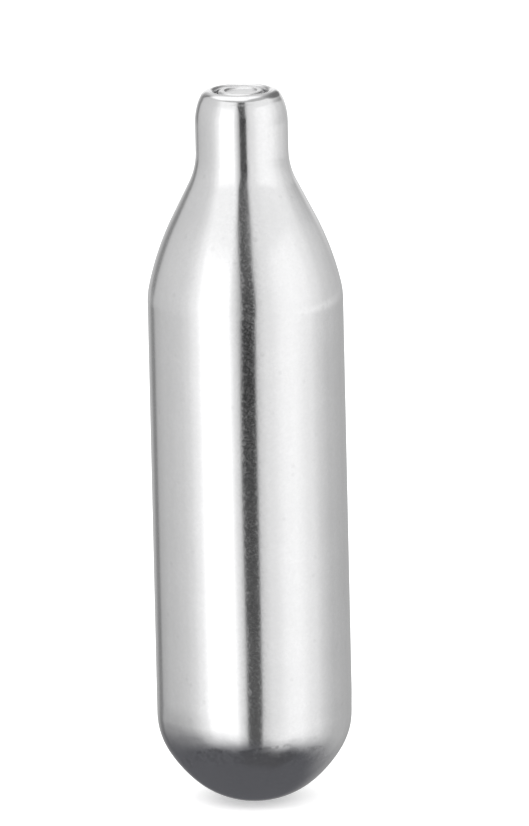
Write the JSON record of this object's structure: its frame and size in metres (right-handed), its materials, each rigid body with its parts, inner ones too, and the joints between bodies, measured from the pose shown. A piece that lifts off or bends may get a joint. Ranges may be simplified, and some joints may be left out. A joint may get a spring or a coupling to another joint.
{
  "type": "gas cartridge",
  "caption": "Small steel gas cartridge with a domed base, tapered shoulder and a crimped mouth with a pierceable cap, as used to charge a whipped cream dispenser.",
  "frame": {"origin": "pole of the domed base, on the axis", "axes": "+Z along the axis from the base to the mouth; the part is round, so X and Y have no mark of their own"},
  "size_m": [0.018, 0.018, 0.0668],
  "materials": {
    "shell_steel": "satin, bright zinc plating over drawn steel",
    "cap_steel": "satin, pressed sheet",
    "gasket_rubber": "matte",
    "liquefied_gas": "clear liquid"
  },
  "bodies": {
    "root": {"shell": "shell_steel", "sealing_cap": "cap_steel", "gasket": "gasket_rubber", "gas_charge": "liquefied_gas"}
  },
  "joints": []
}
